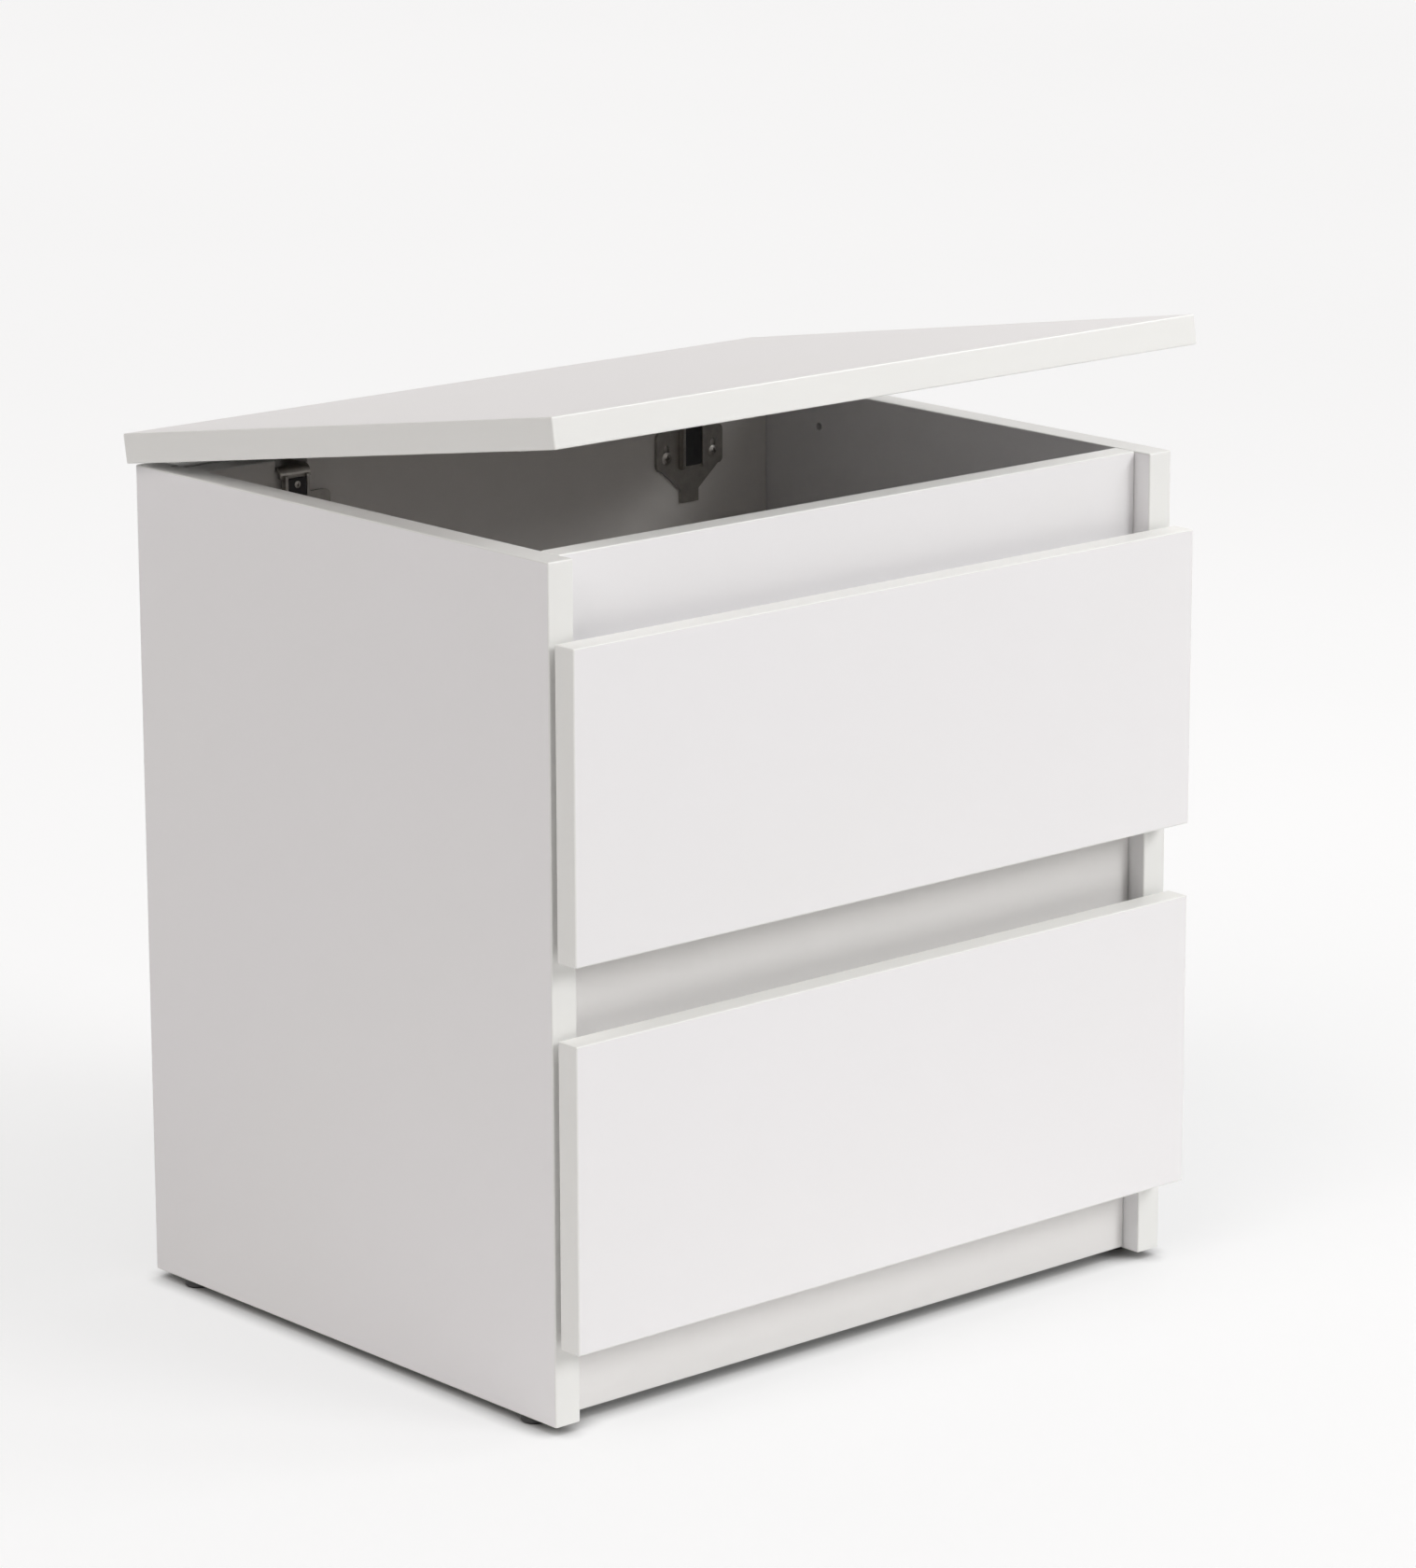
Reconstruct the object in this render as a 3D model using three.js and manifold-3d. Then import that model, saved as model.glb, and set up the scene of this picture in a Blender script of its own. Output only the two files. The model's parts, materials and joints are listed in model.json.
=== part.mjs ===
// Nightstand with two drawers and a lift-up lid over a storage compartment.
// Millimetres, +Z up, the front faces -Y. The origin is on the floor, at the middle of the outline.
import * as THREE from 'three';
import * as BufferGeometryUtils from 'three/addons/utils/BufferGeometryUtils.js';
import Module from 'manifold-3d';

const wasm = await Module();
wasm.setup();

// Fits between neighbouring pieces
const SEAM = 0.25; // hairline between pieces that are fixed together
const OVERCUT = 5; // how far a cutting tool runs past the face that it opens
const WELD = 0.0001; // points closer than this are one point

// Carcass boards
const CARCASS_WIDTH = 485;
const CARCASS_DEPTH = 380;
const SIDE_THICKNESS = 18;
const RAIL_THICKNESS = 16;
const RAIL_RECESS = 12.5; // rails and plinth stand back from the side panels' front edges
const RAIL_LAP = 8; // how far a rail reaches behind a drawer front
const PLINTH_LIFT = 1; // the plinth stays off the floor line
const ARRIS = 0.8; // eased edge of a melamine board
const ARRIS_CORNER = 1; // plan radius of a board's upright edges, over the arris
const SHOWN_STEPS = 2; // steps round the eased edge of a board that shows
const HIDDEN_STEPS = 1;

// Front layout, from the bottom up
const BASE_REVEAL = 48;
const FRONT_HEIGHT = 181;
const FINGER_GAP = 45;
const DRAWER_COUNT = 2;

// Compartment under the lid
const COMPARTMENT_DEPTH = 95;
const HINGE_RAIL_THICKNESS = 18;
const HINGE_RAIL_DROP = 1.5; // the rear rails end this far below the side panels' tops, for the leaves
const REAR_RAIL_HEIGHT = 60; // rail behind the back panel, level with the hinge rail
const ARM_NOTCH_CLEARANCE = 0.75; // round a hinge arm where it passes through the hinge rail
const STAY_HOLE_RADIUS = 2.5; // blind hole high on each side panel's inner face
const STAY_HOLE_DEPTH = 10;
const STAY_HOLE_FROM_BACK = 88;
const STAY_HOLE_DROP = 24;

// Thin back panel in the side panels' grooves
const BACK_THICKNESS = 3;
const BACK_RECESS = 17.75;
const BACK_GROOVE_DEPTH = 6;
const BACK_FOOT = 10; // the back panel ends this far above the side panels' undersides

// Floor glides
const GLIDE_HEIGHT = 5;
const GLIDE_RADIUS = 8;
const GLIDE_TOP_RADIUS = 7;
const GLIDE_EDGE = 1;
const GLIDE_FROM_FRONT = 30;
const GLIDE_FROM_BACK = 30;

// Lid
const LID_THICKNESS = 18;
const LID_SIDE_OVERHANG = 6;
const LID_GAP = 1.5; // between the closed lid and the side panels
const LID_OPEN_DEGREES = 9.25; // how far the lid stands open at rest
const BUMPER_RADIUS = 5;
const BUMPER_EDGE = 0.5;
const BUMPER_FROM_FRONT = 22;
const BUMPER_FROM_BACK = 40;

// Lid hinges
const HINGE_INSET = 85.5; // from a side panel's outer face to its hinge's middle
const HINGE_DROP = 37; // from the side panels' tops to the middle of the plate's slots
const PLATE_THICKNESS = 2;
const PLATE_WING_REACH = 27.5;
const PLATE_WING_RISE = 14;
const PLATE_WING_DROP = 11;
const PLATE_TONGUE_WIDTH = 14.5;
const PLATE_TONGUE_RISE = 20;
const PLATE_NECK_DROP = 25; // where the wings have run out into the tongue
const PLATE_TONGUE_DROP = 33;
const PLATE_CORNER = 4;
const PLATE_SLOT_REACH = 19.5; // from the plate's middle to a screw slot's
const PLATE_SLOT_WIDTH = 4.6;
const PLATE_SLOT_LENGTH = 11;
const ARM_WIDTH = 18;
const ARM_DEPTH = 4;
const ARM_WALL = 2;
const ARM_BEND = 5; // outer radius of the bend over the hinge rail
const ARM_DROP = 11; // from the middle of the plate's slots to the arm's foot
const ARM_FLANGE_GAP = 3; // the flanges end this far below the crank
const ARM_FLANGE_CORNER = 1.5;
const CAP_MARGIN = 2; // the cover cap ends this far inside the ends of the arm's flanges
const CAP_CORNER = 1.5;
const CAP_EDGE = 0.4;
const KNUCKLE_WALL = 2;
const KNUCKLE_BORE = 2.5;
const KNUCKLE_WIDTH = 6; // each outer knuckle, on the arm
const LEAF_KNUCKLE_WIDTH = 10; // the knuckle between them, on the lid's leaf
const PIN_RADIUS = 2.25;
const PIN_HEAD_RADIUS = 3.5;
const PIN_HEAD_THICKNESS = 1;
const PIVOT_FROM_BACK = 3;
const LEAF_WIDTH = 44;
const LEAF_LENGTH = 46;
const LEAF_CORNER = 5;
const LEAF_HOLE_RADIUS = 2.3;
const LEAF_HOLE_REACH = 14; // from the leaf's middle to a screw hole's
const LEAF_HOLE_PITCH = 24; // between the two rows of screw holes
const ROUND_STEPS = 24;
const CORNER_STEPS = 3;

// Drawer fronts
const FRONT_THICKNESS = 16;
const FRONT_STAND_OFF = 4; // air behind a drawer front, bridged by its bumpers
const FRONT_SIDE_INSET = 0.5;
const FRONT_BUMPER_RADIUS = 4;
const FRONT_BUMPER_DROP = 16;

// Drawer boxes
const BOX_WALL = 12;
const BOX_LENGTH = 350;
const BOX_CLEARANCE = 9; // above and below a box
const GROOVE_UP = 10; // bottom groove above a box side's lower edge
const GROOVE_DEPTH = 6;
const BOTTOM_THICKNESS = 3;
const BOX_ARRIS = 0.8;

// Drawer runners
const RUNNER_SPACE = 12.5; // between a box side and the carcass side
const RUNNER_LENGTH = 340;
const RUNNER_SETBACK = 4;
const RUNNER_UP = 35; // runner centre above the box's lower edge
const RUNNER_HEIGHT = 45;
const RUNNER_WALL = 1.2;
const RUNNER_BEND = 3;
const RUNNER_PLAY = 0.7; // running clearance between the members' webs
const BALL_ROOM = 3.8; // between the members' flanges, where the balls run
const CABINET_MEMBER_DEPTH = 10.5;
const MIDDLE_MEMBER_DEPTH = 7;
const DRAWER_MEMBER_DEPTH = 7.5;

// Places worked out from the sizes above
const CARCASS_HEIGHT = BASE_REVEAL + DRAWER_COUNT * (FRONT_HEIGHT + FINGER_GAP);
const HALF_WIDTH = CARCASS_WIDTH / 2;
const INNER_HALF = HALF_WIDTH - SIDE_THICKNESS;
const HINGE_X = HALF_WIDTH - HINGE_INSET;
const RAIL_HALF = INNER_HALF - SEAM;
const RAIL_BACK = RAIL_RECESS + RAIL_THICKNESS;
const BACK_PANEL_REAR = CARCASS_DEPTH - BACK_RECESS;
const BACK_PANEL_FRONT = BACK_PANEL_REAR - BACK_THICKNESS;
const BOARD_REAR = BACK_PANEL_FRONT - SEAM;
const HINGE_RAIL_FRONT = BOARD_REAR - HINGE_RAIL_THICKNESS;
const PLINTH_TOP = BASE_REVEAL + RAIL_LAP;
const BOTTOM_TOP = PLINTH_TOP + SEAM + RAIL_THICKNESS;
const FLOOR_TOP = CARCASS_HEIGHT - COMPARTMENT_DEPTH;
const FLOOR_UNDERSIDE = FLOOR_TOP - RAIL_THICKNESS;
const REAR_RAIL_TOP = CARCASS_HEIGHT - HINGE_RAIL_DROP;
const MIDDLE_RAIL_LOW = BASE_REVEAL + FRONT_HEIGHT - RAIL_LAP;
const MIDDLE_RAIL_HIGH = BASE_REVEAL + FRONT_HEIGHT + FINGER_GAP + RAIL_LAP;

const FRONT_REAR = -FRONT_STAND_OFF;
const FRONT_FACE = FRONT_REAR - FRONT_THICKNESS;
const BOX_FRONT = FRONT_REAR + SEAM;
const BOX_REAR = BOX_FRONT + BOX_LENGTH;
const BOX_HALF = INNER_HALF - RUNNER_SPACE;
const BOX_INNER_HALF = BOX_HALF - BOX_WALL;
const GROOVE_HEIGHT = BOTTOM_THICKNESS + 2 * SEAM;

const LID_UNDERSIDE = CARCASS_HEIGHT + LID_GAP;
const LID_FRONT = FRONT_FACE; // the closed lid ends flush with the drawer fronts
const KNUCKLE_RADIUS = KNUCKLE_BORE + KNUCKLE_WALL;
const PIVOT_Y = CARCASS_DEPTH - PIVOT_FROM_BACK;
const PIVOT_Z = LID_UNDERSIDE - SEAM - KNUCKLE_RADIUS;
const LID_OPEN = THREE.MathUtils.degToRad(LID_OPEN_DEGREES);

// The open lid's top back edge is the rearmost point of the assembled outline.
const LID_REAR_FROM_PIVOT = CARCASS_DEPTH - PIVOT_Y;
const LID_TOP_FROM_PIVOT = LID_UNDERSIDE + LID_THICKNESS - PIVOT_Z;
const LID_REARMOST = PIVOT_Y + LID_REAR_FROM_PIVOT * Math.cos(LID_OPEN) + LID_TOP_FROM_PIVOT * Math.sin(LID_OPEN);
const OUTLINE_MIDDLE = (FRONT_FACE + LID_REARMOST) / 2;

// Finishes
const melamine = () => new THREE.MeshStandardMaterial({ color: 0xf0eff0, roughness: 0.45, metalness: 0 });
const hardboard = () => new THREE.MeshStandardMaterial({ color: 0xe9e8e6, roughness: 0.6, metalness: 0 });
const nickel = () => new THREE.MeshStandardMaterial({ color: 0xb9b7b2, roughness: 0.3, metalness: 1 });
const zinc = () => new THREE.MeshStandardMaterial({ color: 0xc4c8cc, roughness: 0.4, metalness: 1 });
const darkPlastic = () => new THREE.MeshStandardMaterial({ color: 0x26262a, roughness: 0.55, metalness: 0 });
const clearRubber = () => new THREE.MeshStandardMaterial({ color: 0xdcdcda, roughness: 0.35, metalness: 0 });

function place(name, geometry, material, position = [0, 0, 0]) {
  const mesh = new THREE.Mesh(geometry, material);
  mesh.name = name;
  mesh.position.set(...position);
  return mesh;
}

// Solids that are joined or cut
function toSolid(geometry) {
  const bare = geometry.clone();
  bare.deleteAttribute('normal');
  bare.deleteAttribute('uv');
  const merged = BufferGeometryUtils.mergeVertices(bare, WELD);
  return new wasm.Manifold(new wasm.Mesh({
    numProp: 3,
    vertProperties: merged.attributes.position.array,
    triVerts: Uint32Array.from(merged.index.array),
  }));
}

function toGeometry(solid) {
  const mesh = solid.getMesh();
  const geometry = new THREE.BufferGeometry();
  geometry.setAttribute('position', new THREE.BufferAttribute(mesh.vertProperties, 3));
  geometry.setIndex(new THREE.BufferAttribute(mesh.triVerts, 1));
  geometry.computeVertexNormals();
  return geometry;
}

function blockBetween(low, high) {
  const size = high.map((value, axis) => value - low[axis]);
  const block = new THREE.BoxGeometry(...size);
  block.translate(...low.map((value, axis) => value + size[axis] / 2));
  return block;
}

function roundedOutline(width, height, corner) {
  const x = width / 2;
  const y = height / 2;
  const outline = new THREE.Shape();
  outline.absarc(x - corner, y - corner, corner, 0, Math.PI / 2);
  outline.absarc(corner - x, y - corner, corner, Math.PI / 2, Math.PI);
  outline.absarc(corner - x, corner - y, corner, Math.PI, 1.5 * Math.PI);
  outline.absarc(x - corner, corner - y, corner, 1.5 * Math.PI, 2 * Math.PI);
  return outline;
}

// A board with every edge eased, filling the space between two corners
function easedBoard(low, high, steps) {
  const [width, depth, height] = high.map((value, axis) => value - low[axis]);
  const board = new THREE.ExtrudeGeometry(roundedOutline(width, depth, ARRIS_CORNER), {
    depth: height - 2 * ARRIS,
    bevelEnabled: true,
    bevelThickness: ARRIS,
    bevelSize: ARRIS,
    bevelOffset: -ARRIS,
    bevelSegments: steps,
    curveSegments: steps,
  });
  board.translate(low[0] + width / 2, low[1] + depth / 2, low[2] + ARRIS);
  return board;
}

function boardMesh(name, low, high, steps) {
  return place(name, easedBoard(low, high, steps), melamine());
}

// Extrudes an outline drawn in X and Z along +Y, from one depth to another
function extrudeAlongY(outline, from, to, steps = CORNER_STEPS) {
  const geometry = new THREE.ExtrudeGeometry(outline, {
    depth: to - from,
    bevelEnabled: false,
    curveSegments: steps,
  });
  geometry.rotateX(Math.PI / 2);
  geometry.translate(0, to, 0);
  return geometry;
}

// Extrudes an outline drawn in Y and Z along +X, from one side to another
function extrudeAlongX(outline, from, to, steps = CORNER_STEPS) {
  const geometry = new THREE.ExtrudeGeometry(outline, {
    depth: to - from,
    bevelEnabled: false,
    curveSegments: steps,
  });
  geometry.rotateX(Math.PI / 2);
  geometry.rotateZ(Math.PI / 2);
  geometry.translate(from, 0, 0);
  return geometry;
}

function cylinderAlongX(radius, from, to, y, z) {
  const cylinder = new THREE.CylinderGeometry(radius, radius, to - from, ROUND_STEPS);
  cylinder.rotateZ(Math.PI / 2);
  cylinder.translate((from + to) / 2, y, z);
  return cylinder;
}

// Carcass
function sidePanel(name, side) {
  const inner = side * INNER_HALF;
  const outer = side * HALF_WIDTH;
  const low = [Math.min(inner, outer), 0, 0];
  const high = [Math.max(inner, outer), CARCASS_DEPTH, CARCASS_HEIGHT];
  const grooveEnd = inner + side * BACK_GROOVE_DEPTH;
  const grooveMouth = inner - side * OVERCUT;
  const groove = blockBetween(
    [Math.min(grooveMouth, grooveEnd), BACK_PANEL_FRONT - SEAM, -OVERCUT],
    [Math.max(grooveMouth, grooveEnd), BACK_PANEL_REAR + SEAM, CARCASS_HEIGHT + OVERCUT],
  );
  const holeEnd = inner + side * STAY_HOLE_DEPTH;
  const hole = cylinderAlongX(
    STAY_HOLE_RADIUS,
    Math.min(grooveMouth, holeEnd),
    Math.max(grooveMouth, holeEnd),
    CARCASS_DEPTH - STAY_HOLE_FROM_BACK,
    CARCASS_HEIGHT - STAY_HOLE_DROP,
  );
  const solid = toSolid(easedBoard(low, high, SHOWN_STEPS))
    .subtract(toSolid(groove))
    .subtract(toSolid(hole));
  return place(name, toGeometry(solid), melamine());
}

// Back wall of the compartment, notched where the hinge arms pass through to the rear
function hingeRail() {
  return notchedRail(
    'hinge_rail',
    [-RAIL_HALF, HINGE_RAIL_FRONT, FLOOR_TOP + SEAM],
    [RAIL_HALF, BOARD_REAR, REAR_RAIL_TOP],
    ARM_KNUCKLE_OUTER + ARM_NOTCH_CLEARANCE,
  );
}

// Closes the top of the back, round the hinge pins
function rearTopRail() {
  const front = BACK_PANEL_REAR + SEAM;
  return notchedRail(
    'rear_top_rail',
    [-RAIL_HALF, front, REAR_RAIL_TOP - REAR_RAIL_HEIGHT],
    [RAIL_HALF, front + RAIL_THICKNESS, REAR_RAIL_TOP],
    PIN_END + ARM_NOTCH_CLEARANCE,
  );
}

function notchedRail(name, low, high, half) {
  const notch = (x) => blockBetween(
    [x - half, low[1] - OVERCUT, ARM_NOTCH_FLOOR],
    [x + half, high[1] + OVERCUT, high[2] + OVERCUT],
  );
  const solid = toSolid(easedBoard(low, high, SHOWN_STEPS))
    .subtract(toSolid(notch(-HINGE_X)))
    .subtract(toSolid(notch(HINGE_X)));
  return place(name, toGeometry(solid), melamine());
}

function backPanel() {
  const reach = INNER_HALF + BACK_GROOVE_DEPTH - SEAM;
  const sheet = blockBetween(
    [-reach, BACK_PANEL_FRONT, BACK_FOOT],
    [reach, BACK_PANEL_REAR, ARM_NOTCH_FLOOR],
  );
  return place('back_panel', sheet, hardboard());
}

function glide(name, side, y) {
  const profile = [
    new THREE.Vector2(0, 0),
    new THREE.Vector2(GLIDE_RADIUS - GLIDE_EDGE, 0),
    new THREE.Vector2(GLIDE_RADIUS, GLIDE_EDGE),
    new THREE.Vector2(GLIDE_TOP_RADIUS, GLIDE_HEIGHT - SEAM),
    new THREE.Vector2(0, GLIDE_HEIGHT - SEAM),
  ];
  const geometry = new THREE.LatheGeometry(profile, ROUND_STEPS);
  geometry.rotateX(Math.PI / 2);
  const x = side * (HALF_WIDTH - SIDE_THICKNESS / 2);
  return place(name, geometry, darkPlastic(), [x, y, -GLIDE_HEIGHT]);
}

function carcassBoards() {
  return [
    sidePanel('side_panel_left', -1),
    sidePanel('side_panel_right', 1),
    boardMesh(
      'plinth_board',
      [-RAIL_HALF, RAIL_RECESS, PLINTH_LIFT],
      [RAIL_HALF, RAIL_BACK, PLINTH_TOP],
      SHOWN_STEPS,
    ),
    boardMesh(
      'rear_plinth_board',
      [-RAIL_HALF, BOARD_REAR - RAIL_THICKNESS, PLINTH_LIFT],
      [RAIL_HALF, BOARD_REAR, PLINTH_TOP],
      HIDDEN_STEPS,
    ),
    boardMesh(
      'bottom_panel',
      [-RAIL_HALF, RAIL_RECESS, PLINTH_TOP + SEAM],
      [RAIL_HALF, BOARD_REAR, BOTTOM_TOP],
      HIDDEN_STEPS,
    ),
    boardMesh(
      'middle_rail',
      [-RAIL_HALF, RAIL_RECESS, MIDDLE_RAIL_LOW],
      [RAIL_HALF, RAIL_BACK, MIDDLE_RAIL_HIGH],
      SHOWN_STEPS,
    ),
    boardMesh(
      'compartment_front_rail',
      [-RAIL_HALF, RAIL_RECESS, FLOOR_UNDERSIDE],
      [RAIL_HALF, RAIL_BACK, CARCASS_HEIGHT],
      SHOWN_STEPS,
    ),
    boardMesh(
      'compartment_floor',
      [-RAIL_HALF, RAIL_BACK + SEAM, FLOOR_UNDERSIDE],
      [RAIL_HALF, BOARD_REAR, FLOOR_TOP],
      HIDDEN_STEPS,
    ),
    hingeRail(),
    backPanel(),
    rearTopRail(),
  ];
}

function glides() {
  const rearY = CARCASS_DEPTH - GLIDE_FROM_BACK;
  return [
    glide('glide_front_left', -1, GLIDE_FROM_FRONT),
    glide('glide_front_right', 1, GLIDE_FROM_FRONT),
    glide('glide_rear_left', -1, rearY),
    glide('glide_rear_right', 1, rearY),
  ];
}

// Lid hinges: each is drawn about its own middle and placed at the hinge's X.
const PLATE_REAR = HINGE_RAIL_FRONT - SEAM;
const PLATE_FRONT = PLATE_REAR - PLATE_THICKNESS;
const ARM_REAR = PLATE_FRONT - SEAM;
const ARM_FRONT = ARM_REAR - ARM_DEPTH;
const SCREW_LINE = CARCASS_HEIGHT - HINGE_DROP;
const CRANK_LOW = PIVOT_Z - KNUCKLE_RADIUS;
const CRANK_HIGH = CRANK_LOW + KNUCKLE_WALL;
const ARM_NOTCH_FLOOR = CRANK_LOW - ARM_NOTCH_CLEARANCE;
const ARM_FOOT = SCREW_LINE - ARM_DROP;
const FLANGE_TOP = CRANK_LOW - ARM_FLANGE_GAP;
const LEAF_KNUCKLE_HALF = LEAF_KNUCKLE_WIDTH / 2;
const ARM_KNUCKLE_INNER = LEAF_KNUCKLE_HALF + SEAM;
const ARM_KNUCKLE_OUTER = ARM_KNUCKLE_INNER + KNUCKLE_WIDTH;
const PIN_END = ARM_KNUCKLE_OUTER + SEAM + PIN_HEAD_THICKNESS;

function screwSlot() {
  const radius = PLATE_SLOT_WIDTH / 2;
  const reach = PLATE_SLOT_LENGTH / 2 - radius;
  const slot = new THREE.Path();
  slot.absarc(PLATE_SLOT_REACH, SCREW_LINE + reach, radius, 0, Math.PI);
  slot.absarc(PLATE_SLOT_REACH, SCREW_LINE - reach, radius, Math.PI, 2 * Math.PI);
  slot.closePath();
  return slot;
}

function hingePlate(name, x) {
  const tongue = PLATE_TONGUE_WIDTH / 2;
  const outline = new THREE.Shape();
  outline.moveTo(tongue, SCREW_LINE - PLATE_TONGUE_DROP);
  outline.lineTo(tongue, SCREW_LINE - PLATE_NECK_DROP);
  outline.lineTo(PLATE_WING_REACH - PLATE_CORNER, SCREW_LINE - PLATE_WING_DROP);
  outline.quadraticCurveTo(
    PLATE_WING_REACH,
    SCREW_LINE - PLATE_WING_DROP,
    PLATE_WING_REACH,
    SCREW_LINE - PLATE_WING_DROP + PLATE_CORNER,
  );
  outline.lineTo(PLATE_WING_REACH, SCREW_LINE + PLATE_WING_RISE - PLATE_CORNER);
  outline.quadraticCurveTo(
    PLATE_WING_REACH,
    SCREW_LINE + PLATE_WING_RISE,
    PLATE_WING_REACH - PLATE_CORNER,
    SCREW_LINE + PLATE_WING_RISE,
  );
  outline.lineTo(tongue, SCREW_LINE + PLATE_WING_RISE);
  outline.lineTo(tongue, SCREW_LINE + PLATE_TONGUE_RISE);
  outline.lineTo(0, SCREW_LINE + PLATE_TONGUE_RISE);
  outline.lineTo(0, SCREW_LINE - PLATE_TONGUE_DROP);
  outline.holes.push(screwSlot());
  const half = toSolid(extrudeAlongY(outline, PLATE_FRONT, PLATE_REAR));
  const solid = half.add(half.mirror([1, 0, 0]));
  return place(name, toGeometry(solid), nickel(), [x, 0, 0]);
}

// Side view of the cranked strap: up the plate, over the hinge rail and back to the pin
function crankOutline() {
  const innerBend = ARM_BEND - ARM_WALL;
  const webFront = ARM_REAR - ARM_WALL;
  const bendY = webFront + ARM_BEND;
  const outline = new THREE.Shape();
  outline.moveTo(webFront, ARM_FOOT);
  outline.lineTo(webFront, CRANK_HIGH - ARM_BEND);
  outline.absarc(bendY, CRANK_HIGH - ARM_BEND, ARM_BEND, Math.PI, Math.PI / 2, true);
  outline.lineTo(PIVOT_Y, CRANK_HIGH);
  outline.lineTo(PIVOT_Y, CRANK_LOW);
  outline.lineTo(bendY, CRANK_LOW);
  outline.absarc(bendY, CRANK_LOW - innerBend, innerBend, Math.PI / 2, Math.PI, false);
  outline.lineTo(ARM_REAR, ARM_FOOT);
  return outline;
}

function armFlange(side) {
  const outline = new THREE.Shape();
  outline.moveTo(ARM_REAR - ARM_WALL / 2, ARM_FOOT);
  outline.lineTo(ARM_REAR - ARM_WALL / 2, FLANGE_TOP);
  outline.lineTo(ARM_FRONT + ARM_FLANGE_CORNER, FLANGE_TOP);
  outline.quadraticCurveTo(ARM_FRONT, FLANGE_TOP, ARM_FRONT, FLANGE_TOP - ARM_FLANGE_CORNER);
  outline.lineTo(ARM_FRONT, ARM_FOOT + ARM_FLANGE_CORNER);
  outline.quadraticCurveTo(ARM_FRONT, ARM_FOOT, ARM_FRONT + ARM_FLANGE_CORNER, ARM_FOOT);
  const outer = side * (ARM_WIDTH / 2);
  const inner = outer - side * ARM_WALL;
  return extrudeAlongX(outline, Math.min(inner, outer), Math.max(inner, outer));
}

function hingeArm(name, x) {
  const half = ARM_WIDTH / 2;
  const webWaste = (side) => blockBetween(
    [Math.min(side * half, side * ARM_KNUCKLE_OUTER * 2), ARM_FRONT - OVERCUT, ARM_FOOT - OVERCUT],
    [Math.max(side * half, side * ARM_KNUCKLE_OUTER * 2), ARM_REAR, CRANK_LOW - ARM_BEND],
  );
  const leafRoom = blockBetween(
    [-ARM_KNUCKLE_INNER, PIVOT_Y - KNUCKLE_RADIUS - SEAM, CRANK_LOW - OVERCUT],
    [ARM_KNUCKLE_INNER, PIVOT_Y + KNUCKLE_RADIUS + OVERCUT, PIVOT_Z + KNUCKLE_RADIUS + OVERCUT],
  );
  const span = [-ARM_KNUCKLE_OUTER, ARM_KNUCKLE_OUTER];
  const solid = toSolid(extrudeAlongX(crankOutline(), ...span))
    .subtract(toSolid(webWaste(-1)))
    .subtract(toSolid(webWaste(1)))
    .add(toSolid(armFlange(-1)))
    .add(toSolid(armFlange(1)))
    .add(toSolid(cylinderAlongX(KNUCKLE_RADIUS, ...span, PIVOT_Y, PIVOT_Z)))
    .subtract(toSolid(cylinderAlongX(KNUCKLE_BORE, -ARM_WIDTH, ARM_WIDTH, PIVOT_Y, PIVOT_Z)))
    .subtract(toSolid(leafRoom));
  return place(name, toGeometry(solid), nickel(), [x, 0, 0]);
}

// Snap-in cover between the arm's flanges
function hingeCap(name, x) {
  const rear = ARM_REAR - ARM_WALL - SEAM;
  const low = ARM_FOOT + CAP_MARGIN;
  const high = FLANGE_TOP - CAP_MARGIN;
  const width = ARM_WIDTH - 2 * (ARM_WALL + SEAM);
  const cap = new THREE.ExtrudeGeometry(roundedOutline(width, high - low, CAP_CORNER), {
    depth: rear - ARM_FRONT - SEAM - 2 * CAP_EDGE,
    bevelEnabled: true,
    bevelThickness: CAP_EDGE,
    bevelSize: CAP_EDGE,
    bevelOffset: -CAP_EDGE,
    bevelSegments: SHOWN_STEPS,
    curveSegments: CORNER_STEPS,
  });
  cap.rotateX(Math.PI / 2);
  cap.translate(0, rear - CAP_EDGE, (low + high) / 2);
  return place(name, cap, darkPlastic(), [x, 0, 0]);
}

function hingePin(name, x) {
  const shankEnd = ARM_KNUCKLE_OUTER + SEAM;
  const headEnd = PIN_END;
  const profile = [
    new THREE.Vector2(0, -headEnd),
    new THREE.Vector2(PIN_HEAD_RADIUS - PIN_HEAD_THICKNESS, -headEnd),
    new THREE.Vector2(PIN_HEAD_RADIUS, -shankEnd),
    new THREE.Vector2(PIN_RADIUS, -shankEnd),
    new THREE.Vector2(PIN_RADIUS, shankEnd),
    new THREE.Vector2(PIN_HEAD_RADIUS, shankEnd),
    new THREE.Vector2(PIN_HEAD_RADIUS - PIN_HEAD_THICKNESS, headEnd),
    new THREE.Vector2(0, headEnd),
  ];
  const geometry = new THREE.LatheGeometry(profile, ROUND_STEPS);
  geometry.rotateZ(Math.PI / 2);
  return place(name, geometry, nickel(), [x, PIVOT_Y, PIVOT_Z]);
}

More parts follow.
